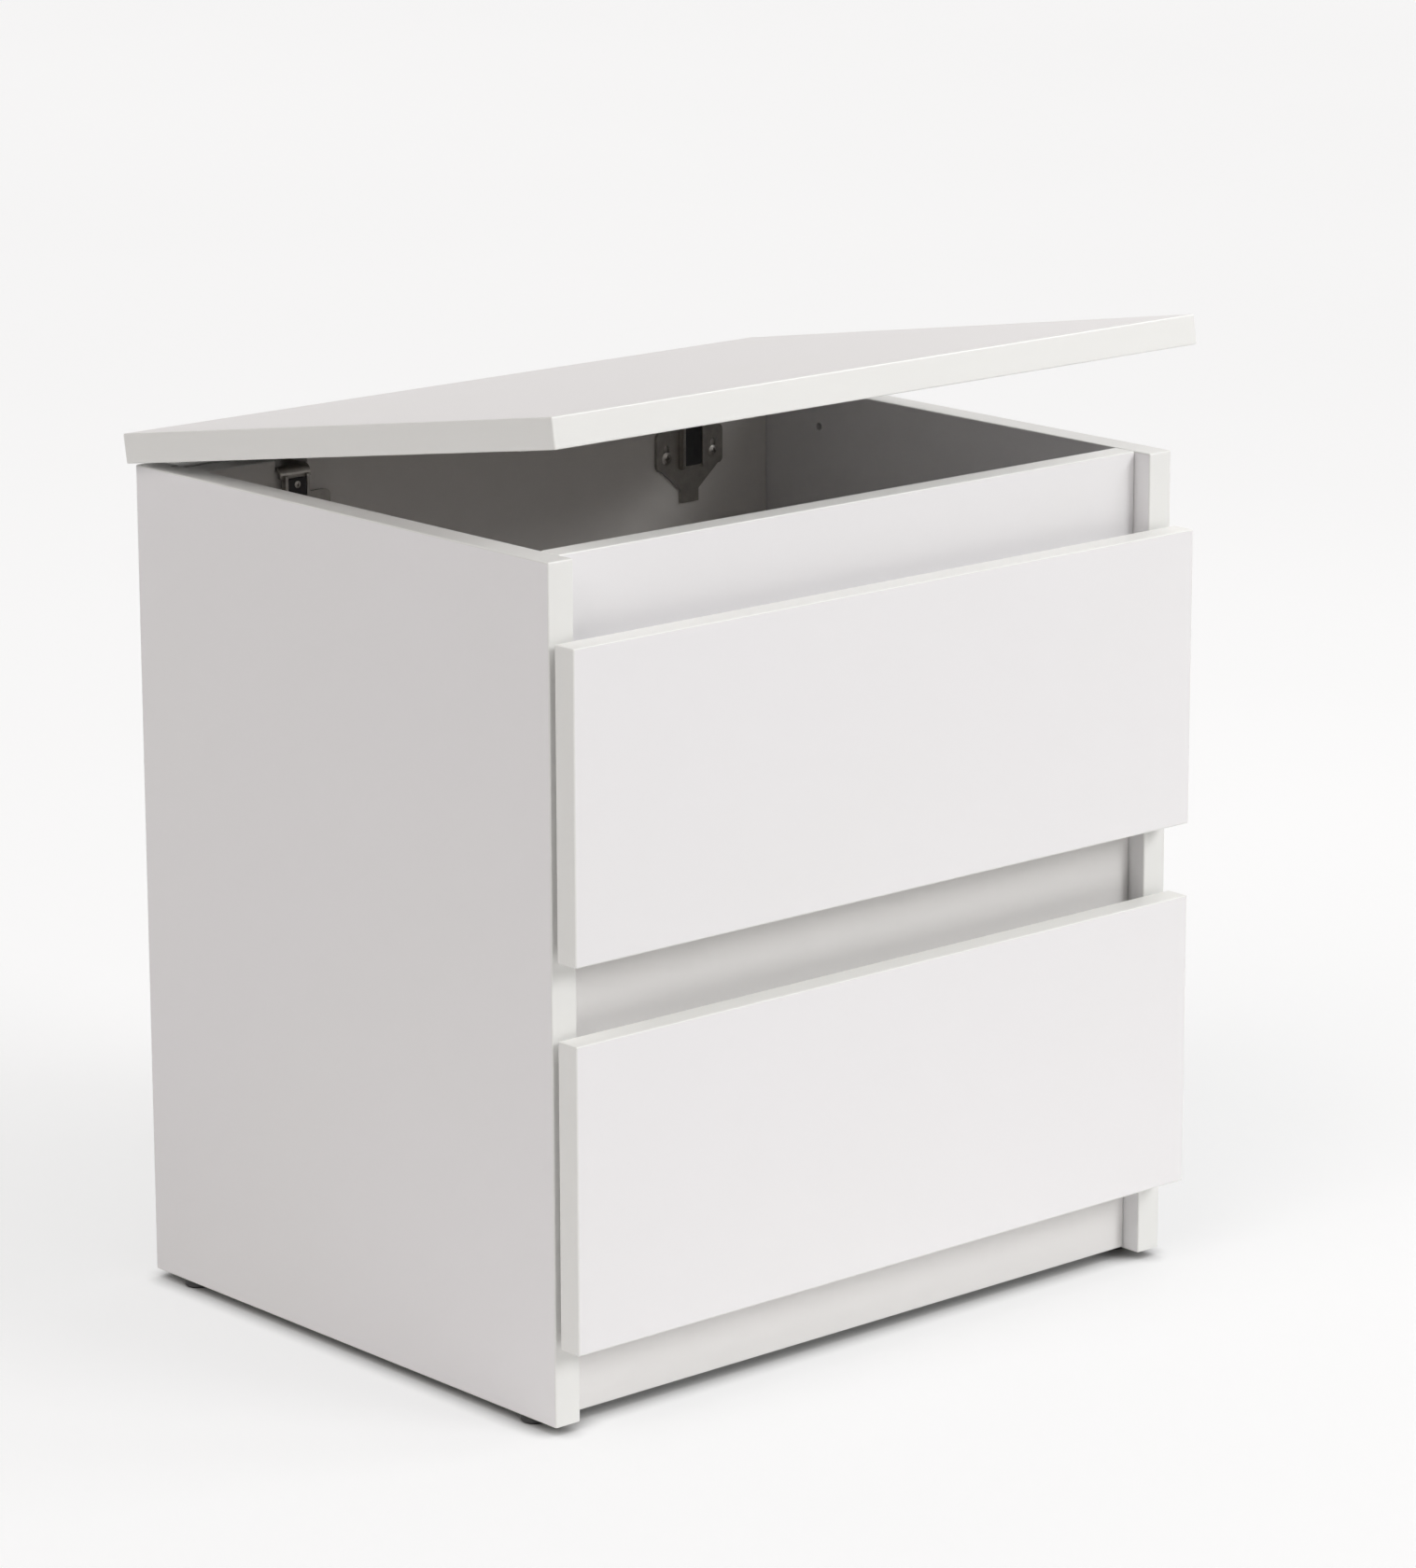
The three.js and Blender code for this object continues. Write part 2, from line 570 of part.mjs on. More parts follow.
// The leaf under the lid, drawn as the closed lid holds it
function hingeLeaf(name, x) {
  const top = PIVOT_Z + KNUCKLE_RADIUS;
  const neckFront = PIVOT_Y - KNUCKLE_RADIUS - PIN_HEAD_THICKNESS;
  const outline = roundedOutline(LEAF_WIDTH, LEAF_LENGTH, LEAF_CORNER);
  for (const across of [-LEAF_HOLE_REACH, LEAF_HOLE_REACH]) {
    for (const along of [-LEAF_HOLE_PITCH / 2, LEAF_HOLE_PITCH / 2]) {
      const hole = new THREE.Path();
      hole.absarc(across, along, LEAF_HOLE_RADIUS, 0, 2 * Math.PI);
      outline.holes.push(hole);
    }
  }
  const plate = new THREE.ExtrudeGeometry(outline, {
    depth: KNUCKLE_WALL,
    bevelEnabled: false,
    curveSegments: CORNER_STEPS,
  });
  plate.translate(0, neckFront - LEAF_LENGTH / 2, top - KNUCKLE_WALL);
  const span = [-LEAF_KNUCKLE_HALF, LEAF_KNUCKLE_HALF];
  const neck = blockBetween(
    [-LEAF_KNUCKLE_HALF, neckFront - KNUCKLE_WALL, top - KNUCKLE_WALL],
    [LEAF_KNUCKLE_HALF, PIVOT_Y, top],
  );
  const solid = toSolid(plate)
    .add(toSolid(neck))
    .add(toSolid(cylinderAlongX(KNUCKLE_RADIUS, ...span, PIVOT_Y, PIVOT_Z)))
    .subtract(toSolid(cylinderAlongX(KNUCKLE_BORE, -LEAF_WIDTH, LEAF_WIDTH, PIVOT_Y, PIVOT_Z)));
  return place(name, toGeometry(solid), nickel(), [x, 0, 0]);
}

function carcassHinges() {
  const pieces = [];
  for (const [label, x] of [['left', -HINGE_X], ['right', HINGE_X]]) {
    pieces.push(hingePlate(`hinge_plate_${label}`, x));
    pieces.push(hingeArm(`hinge_arm_${label}`, x));
    pieces.push(hingeCap(`hinge_cap_${label}`, x));
    pieces.push(hingePin(`hinge_pin_${label}`, x));
  }
  return pieces;
}

// Lid, drawn closed inside a group that turns about the hinge pins
function lidBumper(name, side, y) {
  const height = LID_GAP - 2 * SEAM;
  const profile = [
    new THREE.Vector2(0, 0),
    new THREE.Vector2(BUMPER_RADIUS - BUMPER_EDGE, 0),
    new THREE.Vector2(BUMPER_RADIUS, BUMPER_EDGE),
    new THREE.Vector2(BUMPER_RADIUS, height),
    new THREE.Vector2(0, height),
  ];
  const geometry = new THREE.LatheGeometry(profile, ROUND_STEPS);
  geometry.rotateX(Math.PI / 2);
  const x = side * (HALF_WIDTH - SIDE_THICKNESS / 2);
  return place(name, geometry, clearRubber(), [x, y, CARCASS_HEIGHT + SEAM]);
}

function lid() {
  const reach = HALF_WIDTH + LID_SIDE_OVERHANG;
  const closed = new THREE.Group();
  closed.add(boardMesh(
    'lid_panel',
    [-reach, LID_FRONT, LID_UNDERSIDE],
    [reach, CARCASS_DEPTH, LID_UNDERSIDE + LID_THICKNESS],
    SHOWN_STEPS,
  ));
  closed.add(hingeLeaf('hinge_leaf_left', -HINGE_X));
  closed.add(hingeLeaf('hinge_leaf_right', HINGE_X));
  const rearY = CARCASS_DEPTH - BUMPER_FROM_BACK;
  closed.add(lidBumper('lid_bumper_front_left', -1, BUMPER_FROM_FRONT));
  closed.add(lidBumper('lid_bumper_front_right', 1, BUMPER_FROM_FRONT));
  closed.add(lidBumper('lid_bumper_rear_left', -1, rearY));
  closed.add(lidBumper('lid_bumper_rear_right', 1, rearY));
  closed.position.set(0, -PIVOT_Y, -PIVOT_Z);
  const turned = new THREE.Group();
  turned.add(closed);
  turned.position.set(0, PIVOT_Y, PIVOT_Z);
  turned.rotation.x = -LID_OPEN;
  return turned;
}

// Runner members: nested C sections, with room for a row of balls along each pair of flanges
function channelOutline(web, mouth, halfHeight, z) {
  const open = Math.sign(mouth - web);
  const bend = open * RUNNER_BEND;
  const wall = open * RUNNER_WALL;
  const high = z + halfHeight;
  const low = z - halfHeight;
  const outline = new THREE.Shape();
  outline.moveTo(mouth, low);
  outline.lineTo(web + bend, low);
  outline.quadraticCurveTo(web, low, web, low + RUNNER_BEND);
  outline.lineTo(web, high - RUNNER_BEND);
  outline.quadraticCurveTo(web, high, web + bend, high);
  outline.lineTo(mouth, high);
  outline.lineTo(mouth, high - RUNNER_WALL);
  outline.lineTo(web + bend, high - RUNNER_WALL);
  outline.quadraticCurveTo(web + wall, high - RUNNER_WALL, web + wall, high - RUNNER_BEND);
  outline.lineTo(web + wall, low + RUNNER_BEND);
  outline.quadraticCurveTo(web + wall, low + RUNNER_WALL, web + bend, low + RUNNER_WALL);
  outline.lineTo(mouth, low + RUNNER_WALL);
  return outline;
}

function runnerMember(name, web, mouth, halfHeight, z) {
  const outline = channelOutline(web, mouth, halfHeight, z);
  return place(name, extrudeAlongY(outline, RUNNER_SETBACK, RUNNER_SETBACK + RUNNER_LENGTH), zinc());
}

const CABINET_MEMBER_HALF = RUNNER_HEIGHT / 2;
const MIDDLE_MEMBER_HALF = CABINET_MEMBER_HALF - RUNNER_WALL - BALL_ROOM;
const DRAWER_MEMBER_HALF = MIDDLE_MEMBER_HALF - RUNNER_WALL - BALL_ROOM;

function runner(level, label, side, z) {
  const cabinetWeb = INNER_HALF - SEAM;
  const middleWeb = cabinetWeb - RUNNER_WALL - RUNNER_PLAY;
  const drawerWeb = BOX_HALF + SEAM;
  return [
    runnerMember(
      `${level}_runner_cabinet_member_${label}`,
      side * cabinetWeb,
      side * (cabinetWeb - CABINET_MEMBER_DEPTH),
      CABINET_MEMBER_HALF,
      z,
    ),
    runnerMember(
      `${level}_runner_middle_member_${label}`,
      side * middleWeb,
      side * (middleWeb - MIDDLE_MEMBER_DEPTH),
      MIDDLE_MEMBER_HALF,
      z,
    ),
    runnerMember(
      `${level}_runner_drawer_member_${label}`,
      side * drawerWeb,
      side * (drawerWeb + DRAWER_MEMBER_DEPTH),
      DRAWER_MEMBER_HALF,
      z,
    ),
  ];
}

// Box boards that hold the drawer bottom have a groove on their inner face. The section is drawn
// from the outer face at "outer" to the inner face at "inner".
function groovedOutline(outer, inner, low, high) {
  const inward = Math.sign(inner - outer);
  const groove = inner - inward * GROOVE_DEPTH;
  const arris = inward * BOX_ARRIS;
  const outline = new THREE.Shape();
  outline.moveTo(outer + arris, low);
  outline.lineTo(inner - arris, low);
  outline.lineTo(inner, low + BOX_ARRIS);
  outline.lineTo(inner, low + GROOVE_UP);
  outline.lineTo(groove, low + GROOVE_UP);
  outline.lineTo(groove, low + GROOVE_UP + GROOVE_HEIGHT);
  outline.lineTo(inner, low + GROOVE_UP + GROOVE_HEIGHT);
  outline.lineTo(inner, high - BOX_ARRIS);
  outline.lineTo(inner - arris, high);
  outline.lineTo(outer + arris, high);
  outline.lineTo(outer, high - BOX_ARRIS);
  outline.lineTo(outer, low + BOX_ARRIS);
  return outline;
}

function frontBumper(name, side, z) {
  const thickness = FRONT_STAND_OFF - 2 * SEAM;
  const profile = [
    new THREE.Vector2(0, 0),
    new THREE.Vector2(FRONT_BUMPER_RADIUS, 0),
    new THREE.Vector2(FRONT_BUMPER_RADIUS, thickness - BUMPER_EDGE),
    new THREE.Vector2(FRONT_BUMPER_RADIUS - BUMPER_EDGE, thickness),
    new THREE.Vector2(0, thickness),
  ];
  const geometry = new THREE.LatheGeometry(profile, ROUND_STEPS);
  const x = side * (HALF_WIDTH - SIDE_THICKNESS / 2);
  return place(name, geometry, clearRubber(), [x, FRONT_REAR + SEAM, z]);
}

function drawer(level, frontLow, boxLow, boxHigh) {
  const frontHalf = HALF_WIDTH - FRONT_SIDE_INSET;
  const frontHigh = frontLow + FRONT_HEIGHT;
  const innerFrontRear = BOX_FRONT + BOX_WALL;
  const bottomLow = boxLow + GROOVE_UP + SEAM;
  const bottomHigh = bottomLow + BOTTOM_THICKNESS;
  const bottomHalf = BOX_INNER_HALF + GROOVE_DEPTH - SEAM;
  const innerReach = BOX_INNER_HALF - SEAM;
  const pieces = [
    boardMesh(
      `${level}_drawer_front`,
      [-frontHalf, FRONT_FACE, frontLow],
      [frontHalf, FRONT_REAR, frontHigh],
      SHOWN_STEPS,
    ),
    place(
      `${level}_drawer_inner_front`,
      extrudeAlongX(groovedOutline(BOX_FRONT, innerFrontRear, boxLow, boxHigh), -innerReach, innerReach),
      melamine(),
    ),
    boardMesh(
      `${level}_drawer_back`,
      [-innerReach, BOX_REAR - BOX_WALL, bottomHigh + SEAM],
      [innerReach, BOX_REAR, boxHigh],
      HIDDEN_STEPS,
    ),
    place(
      `${level}_drawer_bottom`,
      blockBetween(
        [-bottomHalf, innerFrontRear - GROOVE_DEPTH + SEAM, bottomLow],
        [bottomHalf, BOX_REAR, bottomHigh],
      ),
      hardboard(),
    ),
  ];
  for (const [label, side] of [['left', -1], ['right', 1]]) {
    const outline = groovedOutline(side * BOX_HALF, side * BOX_INNER_HALF, boxLow, boxHigh);
    pieces.push(place(`${level}_drawer_side_${label}`, extrudeAlongY(outline, BOX_FRONT, BOX_REAR), melamine()));
    pieces.push(frontBumper(`${level}_drawer_bumper_${label}`, side, frontHigh - FRONT_BUMPER_DROP));
    pieces.push(...runner(level, label, side, boxLow + RUNNER_UP));
  }
  return pieces;
}

function drawers() {
  const upperFrontLow = BASE_REVEAL + FRONT_HEIGHT + FINGER_GAP;
  return [
    ...drawer('lower', BASE_REVEAL, BOTTOM_TOP + BOX_CLEARANCE, MIDDLE_RAIL_LOW - BOX_CLEARANCE),
    ...drawer('upper', upperFrontLow, MIDDLE_RAIL_HIGH + BOX_CLEARANCE, FLOOR_UNDERSIDE - BOX_CLEARANCE),
  ];
}

const nightstand = new THREE.Group();
nightstand.name = 'nightstand';
nightstand.add(...carcassBoards(), ...glides(), ...carcassHinges(), ...drawers(), lid());
nightstand.position.set(0, -OUTLINE_MIDDLE, GLIDE_HEIGHT);

export default nightstand;
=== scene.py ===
# Looks of a white nightstand: a melamine carcass, two drawers on telescopic runners, and a lid on
# friction hinges over a storage compartment. Metres, +Z up, the drawers face -Y.
import json
import math

import bmesh
import bpy
from mathutils import Matrix, Vector


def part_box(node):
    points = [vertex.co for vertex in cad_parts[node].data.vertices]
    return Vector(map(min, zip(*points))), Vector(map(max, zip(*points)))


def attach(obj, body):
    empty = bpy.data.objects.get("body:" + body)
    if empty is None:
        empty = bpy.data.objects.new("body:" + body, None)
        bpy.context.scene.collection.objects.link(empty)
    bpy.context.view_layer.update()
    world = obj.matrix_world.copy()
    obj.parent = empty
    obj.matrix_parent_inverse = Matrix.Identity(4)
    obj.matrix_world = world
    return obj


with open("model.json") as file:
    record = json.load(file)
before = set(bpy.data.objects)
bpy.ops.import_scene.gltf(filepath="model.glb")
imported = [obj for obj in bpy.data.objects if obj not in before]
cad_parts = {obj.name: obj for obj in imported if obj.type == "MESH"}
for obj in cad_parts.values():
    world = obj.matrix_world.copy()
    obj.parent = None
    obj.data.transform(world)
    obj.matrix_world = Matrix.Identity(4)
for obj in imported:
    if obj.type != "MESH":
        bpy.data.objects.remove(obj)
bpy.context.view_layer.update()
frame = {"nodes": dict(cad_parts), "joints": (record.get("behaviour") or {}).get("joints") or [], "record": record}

MM = 0.001
LEVELS = ("lower", "upper")
SIDES = (("left", -1), ("right", 1))
FORWARD = (0, -1, 0)
BACKWARD = (0, 1, 0)
DOWN = (0, 0, -1)

# Tones, as linear colour
FACE_WHITE = (0.880, 0.872, 0.880, 1)
BAND_WHITE = (0.862, 0.866, 0.842, 1)
# Painted shade tones: a darker, warmer white for the boards inside the compartment, and a warmer white for the
# rails in shade
INNER_SHADE_WHITE = (0.800, 0.772, 0.740, 1)
RAIL_SHADE_WHITE = (0.880, 0.866, 0.852, 1)
GLUE_GREY = (0.62, 0.61, 0.58, 1)
LACQUER_WHITE = (0.80, 0.79, 0.775, 1)
FIBRE_BROWN = (0.27, 0.17, 0.095, 1)
# Painted shade: the nickel tones are darker than bare plating, standing for the shade and dim reflections the
# hinges get under the lid
NICKEL_SHADED_TONE = (0.41, 0.395, 0.37, 1)
NICKEL_SHADED_DULL = (0.27, 0.255, 0.24, 1)
ZINC_TONE = (0.64, 0.66, 0.69, 1)
ZINC_DULL = (0.47, 0.49, 0.52, 1)
BALL_TONE = (0.72, 0.72, 0.72, 1)
BALL_OILED = (0.50, 0.49, 0.46, 1)
PLASTIC_BLACK = (0.010, 0.010, 0.011, 1)
PLASTIC_WORN = (0.030, 0.029, 0.028, 1)
PAD_CLEAR = (0.86, 0.86, 0.85, 1)
PAD_CLOUD = (0.78, 0.78, 0.76, 1)
FLOOR_WHITE = (0.90, 0.90, 0.90, 1)
FLOOR_SEEN = (0.34, 0.34, 0.34, 1)
FLOOR_SHADE = (0.325, 0.325, 0.325, 1)
WORLD_TONE = (1.0, 0.965, 0.935, 1)

# Painted shade: boards that lie in shade get a warmer white than the faces, darker inside the compartment. It
# stands for the warm shade inside the compartment and on the rails behind and under the fronts
SHADE_TINTED_BOARDS = {
    "hinge_rail": INNER_SHADE_WHITE,
    "compartment_floor": INNER_SHADE_WHITE,
    "middle_rail": RAIL_SHADE_WHITE,
    "plinth_board": RAIL_SHADE_WHITE,
}

# Roughness of each finish, from its smooth spots to its rough ones
BOARD_ROUGHNESS = (0.40, 0.48)
HARDBOARD_ROUGHNESS = (0.52, 0.66)
NICKEL_ROUGHNESS = (0.31, 0.45)
ZINC_ROUGHNESS = (0.30, 0.44)
BALL_ROUGHNESS = (0.14, 0.28)
PLASTIC_ROUGHNESS = (0.42, 0.58)
PAD_ROUGHNESS = (0.18, 0.30)

# Board finish
BAND_THICKNESS = 0.8 * MM
BAND_SMOOTHER = 0.08
GLUE_LINE = 0.12 * MM
GLUE_LINE_STRENGTH = 0.55
CUT_EDGE = 0.05 * MM
PEARL_SIZE = 1.1 * MM

# Grain of sheet steel along each axis, in lines per metre
STAMPED = (900, 900, 900)
ROLLED_ALONG_Y = (2600, 40, 2600)

# Screw heads: radius and rise
PLATE_SCREW = (4 * MM, 1.2 * MM)
CAP_SCREW = (2.2 * MM, 0.7 * MM)
LEAF_SCREW = (3.6 * MM, 0.9 * MM)
FRONT_SCREW = (4.5 * MM, 2.2 * MM)
RUNNER_SCREW = (3.4 * MM, 1.1 * MM)

# Shape of a screw head with a cross recess, in shares of its radius, and of its rise for the dome
CROSS_HALF_WIDTH = 0.11
CROSS_REACH = 0.5
CROSS_DEPTH = 0.45
CROSS_TAPER = 0.7
SKIRT_DEPTH = 0.3
DOME_FALL = 0.75

# Places of the hinge screws
PLATE_SCREW_REACH = 19.5 * MM
PLATE_SCREW_DROP = 23 * MM
CAP_SCREW_DROP = 4 * MM
LEAF_SCREW_REACH = 14 * MM
LEAF_SCREW_SETBACK = 11 * MM
LEAF_SCREW_PITCH = 24 * MM
LEAF_STEEL = 2 * MM

# Places of the screws behind the drawer fronts and in the runners
FRONT_SCREW_REACH = 150 * MM
FRONT_SCREW_SHARE = 0.22
RUNNER_SCREW_SETBACKS = (36 * MM, 150 * MM, 300 * MM)

# Nails in the back panel
NAIL_PLACES = (-190 * MM, -65 * MM, 65 * MM, 190 * MM)
NAIL_RADIUS = 2 * MM
NAIL_SLOPE = 0.8 * MM
NAIL_RISE = 0.35 * MM

# Ball-bearing runners
RUNNER_STEEL = 1.2 * MM
BALL_RADIUS = 1.75 * MM
BALL_PITCH = 12 * MM
BALLS_PER_ROW = 14
BALL_FROM_MOUTH = 2 * MM
CAGE_STEEL = 0.3 * MM
CAGE_BEND = 0.8 * MM
CAGE_LENGTH = 166 * MM
CAGE_FROM_END = 3 * MM

# Lid hinge
LID_OPEN = math.radians(9.25)
HINGE = next(joint for joint in frame["joints"] if joint["name"] == "lid_hinge")
PIVOT = Vector(HINGE["pos_m"])

# Floor and world
FLOOR_HALF_SIZE = 18
FLOOR_LIFT = 0.68
# Painted shade on the floor: reach and span of the dark contact shadow, then of the broad shade around the
# nightstand
CONTACT_SHADOW_REACH = 0.02
CONTACT_SHADOW_SPAN = (0.3, 0.85)
SHADE_REACH = 0.45
SHADE_SPAN = (0.3, 1)
BROAD_SHADE = 0.84
WORLD_STRENGTH = 0.10
BACKDROP_STRENGTH = 0.93

# The camera stands to the left of the drawers and looks a little down. Angles are in degrees, and the
# focal length is in pixels of the photograph.
CAMERA_PLACE = (-2.2764, -2.6231, 1.1758)
CAMERA_YAW = 41.365
CAMERA_PITCH = 14.055
CAMERA_ROLL = -0.161
FOCAL_PIXELS = 6379.3
IMAGE_HEIGHT = 1680


# Node helpers
def feed(tree, value, socket):
    if value is None:
        return
    if isinstance(value, (int, float, tuple)):
        socket.default_value = value
    else:
        tree.links.new(value, socket)


def math_node(tree, operation, first, second=None, clamp=False):
    node = tree.nodes.new("ShaderNodeMath")
    node.operation = operation
    node.use_clamp = clamp
    feed(tree, first, node.inputs[0])
    feed(tree, second, node.inputs[1])
    return node.outputs[0]


def vector_node(tree, operation, first, second=None):
    node = tree.nodes.new("ShaderNodeVectorMath")
    node.operation = operation
    feed(tree, first, node.inputs[0])
    feed(tree, second, node.inputs[1])
    return node.outputs[0]


def noise_node(tree, vector, scale, detail=2.0, roughness=0.5):
    node = tree.nodes.new("ShaderNodeTexNoise")
    node.inputs["Detail"].default_value = detail
    node.inputs["Roughness"].default_value = roughness
    feed(tree, vector, node.inputs["Vector"])
    feed(tree, scale, node.inputs["Scale"])
    return node.outputs["Fac"]


def mix_colour(tree, factor, first, second):
    node = tree.nodes.new("ShaderNodeMix")
    node.data_type = "RGBA"
    for label, value in (("Factor_Float", factor), ("A_Color", first), ("B_Color", second)):
        feed(tree, value, next(s for s in node.inputs if s.identifier == label))
    return next(s for s in node.outputs if s.identifier == "Result_Color")


def map_range(tree, value, low, high, to_low=0.0, to_high=1.0):
    node = tree.nodes.new("ShaderNodeMapRange")
    node.clamp = True
    feed(tree, value, node.inputs["Value"])
    feed(tree, low, node.inputs["From Min"])
    feed(tree, high, node.inputs["From Max"])
    feed(tree, to_low, node.inputs["To Min"])
    feed(tree, to_high, node.inputs["To Max"])
    return node.outputs["Result"]


# Node groups
def start_group(name, inputs, outputs):
    group = bpy.data.node_groups.new(name, "ShaderNodeTree")
    for label, kind, value in inputs:
        socket = group.interface.new_socket(label, in_out="INPUT", socket_type=kind)
        socket.default_value = value
    for label, kind in outputs:
        group.interface.new_socket(label, in_out="OUTPUT", socket_type=kind)
    start = group.nodes.new("NodeGroupInput")
    end = group.nodes.new("NodeGroupOutput")
    return group, start.outputs, end.inputs


# Slow, faint change of tone over a surface
def make_tone_drift():
    group, given, result = start_group(
        "tone drift",
        [
            ("Vector", "NodeSocketVector", (0, 0, 0)),
            ("Spots Per Metre", "NodeSocketFloat", 4.0),
            ("Main Tone", "NodeSocketColor", (1, 1, 1, 1)),
            ("Other Tone", "NodeSocketColor", (0, 0, 0, 1)),
            ("Amount", "NodeSocketFloat", 0.1),
        ],
        [("Color", "NodeSocketColor"), ("Mask", "NodeSocketFloat")],
    )
    cloud = noise_node(group, given["Vector"], given["Spots Per Metre"], detail=3.0)
    mask = map_range(group, cloud, low=0.3, high=0.7)
    amount = math_node(group, "MULTIPLY", mask, given["Amount"])
    colour = mix_colour(group, amount, given["Main Tone"], given["Other Tone"])
    group.links.new(colour, result["Color"])
    group.links.new(mask, result["Mask"])
    return group


# Fine pebbled press mark of melamine paper, moulded plastic and lacquer
def make_pearl_texture():
    broad_size = 0.07
    broad_height = 0.8
    group, given, result = start_group(
        "pearl texture",
        [
            ("Vector", "NodeSocketVector", (0, 0, 0)),
            ("Pebbles Per Metre", "NodeSocketFloat", 900.0),
        ],
        [("Height", "NodeSocketFloat"), ("Mask", "NodeSocketFloat")],
    )
    pebbles = noise_node(group, given["Vector"], given["Pebbles Per Metre"], detail=2.0, roughness=0.6)
    broad_scale = math_node(group, "MULTIPLY", given["Pebbles Per Metre"], broad_size)
    broad = noise_node(group, given["Vector"], broad_scale, detail=1.0)
    height = math_node(group, "ADD", pebbles, math_node(group, "MULTIPLY", broad, broad_height))
    group.links.new(height, result["Height"])
    group.links.new(map_range(group, pebbles, low=0.35, high=0.65), result["Mask"])
    return group


# Edges of a board: the band glued round it and the glue line where it meets the broad faces
def make_banded_edge():
    group, given, result = start_group(
        "banded edge",
        [
            ("Vector", "NodeSocketVector", (0, 0, 0)),
            ("Half Size", "NodeSocketVector", (0, 0, 0)),
            ("Unbanded Axis", "NodeSocketVector", (0, 0, 0)),
            ("Band Thickness", "NodeSocketFloat", BAND_THICKNESS),
            ("Line Width", "NodeSocketFloat", GLUE_LINE),
        ],
        [("Edge", "NodeSocketFloat"), ("Line", "NodeSocketFloat")],
    )
    reach = vector_node(group, "ABSOLUTE", given["Vector"])
    inset = vector_node(group, "SUBTRACT", given["Half Size"], reach)
    parts = group.nodes.new("ShaderNodeSeparateXYZ")
    group.links.new(vector_node(group, "ADD", inset, given["Unbanded Axis"]), parts.inputs[0])
    nearest = math_node(group, "MINIMUM", parts.outputs[0], parts.outputs[1])
    nearest = math_node(group, "MINIMUM", nearest, parts.outputs[2])
    edge = math_node(group, "LESS_THAN", nearest, given["Band Thickness"])
    away = math_node(group, "SUBTRACT", nearest, given["Band Thickness"])
    away = math_node(group, "ABSOLUTE", away)
    line = math_node(group, "DIVIDE", away, given["Line Width"])
    line = math_node(group, "SUBTRACT", 1.0, line, clamp=True)
    group.links.new(edge, result["Edge"])
    group.links.new(line, result["Line"])
    return group


# Fine lines drawn along one direction of a metal surface
def make_drawn_lines():
    group, given, result = start_group(
        "drawn lines",
        [
            ("Vector", "NodeSocketVector", (0, 0, 0)),
            ("Lines Per Metre", "NodeSocketVector", (3000, 60, 3000)),
        ],
        [("Height", "NodeSocketFloat"), ("Mask", "NodeSocketFloat")],
    )
    stretched = vector_node(group, "MULTIPLY", given["Vector"], given["Lines Per Metre"])
    lines = noise_node(group, stretched, scale=1.0, detail=3.0, roughness=0.6)
    group.links.new(lines, result["Height"])
    group.links.new(map_range(group, lines, low=0.4, high=0.7), result["Mask"])
    return group


TONE_DRIFT = make_tone_drift()
PEARL_TEXTURE = make_pearl_texture()
BANDED_EDGE = make_banded_edge()
DRAWN_LINES = make_drawn_lines()


# Material helpers
def principled(tree):
    return next(node for node in tree.nodes if node.type == "BSDF_PRINCIPLED")


def start_material(name):
    material = bpy.data.materials.new(name)
    material.use_nodes = True
    return material, material.node_tree, principled(material.node_tree)


def object_coordinates(tree):
    return tree.nodes.new("ShaderNodeTexCoord").outputs["Object"]


def place_group(tree, group, vector, **values):
    node = tree.nodes.new("ShaderNodeGroup")
    node.node_tree = group
    tree.links.new(vector, node.inputs["Vector"])
    for label, value in values.items():
        node.inputs[label.replace("_", " ")].default_value = value
    return node


def roughness_span(tree, mask, span):
    return map_range(tree, mask, 0, 1, *span)


def bump(tree, height, shader, depth, strength):
    node = tree.nodes.new("ShaderNodeBump")
    node.inputs["Distance"].default_value = depth
    node.inputs["Strength"].default_value = strength
    tree.links.new(height, node.inputs["Height"])
    tree.links.new(node.outputs["Normal"], shader.inputs["Normal"])


def box_of(points):
    low = Vector(min(p[axis] for p in points) for axis in range(3))
    high = Vector(max(p[axis] for p in points) for axis in range(3))
    return low, high


# Where a board's middle and half sizes are once its turn about X is taken off
def board_measure(name, turn):
    unturn = Matrix.Rotation(-turn, 3, "X")
    low, high = box_of([unturn @ vertex.co for vertex in frame["nodes"][name].data.vertices])
    middle = Matrix.Rotation(turn, 3, "X") @ ((low + high) / 2)
    return middle, (high - low) / 2


def board_coordinates(tree, middle, turn):
    mapping = tree.nodes.new("ShaderNodeMapping")
    mapping.vector_type = "TEXTURE"
    mapping.inputs["Location"].default_value = middle
    mapping.inputs["Rotation"].default_value = (turn, 0, 0)
    tree.links.new(object_coordinates(tree), mapping.inputs["Vector"])
    return mapping.outputs["Vector"]


def thin_axis(half):
    axis = min(range(3), key=lambda index: half[index])
    return tuple(1.0 if index == axis else 0.0 for index in range(3))


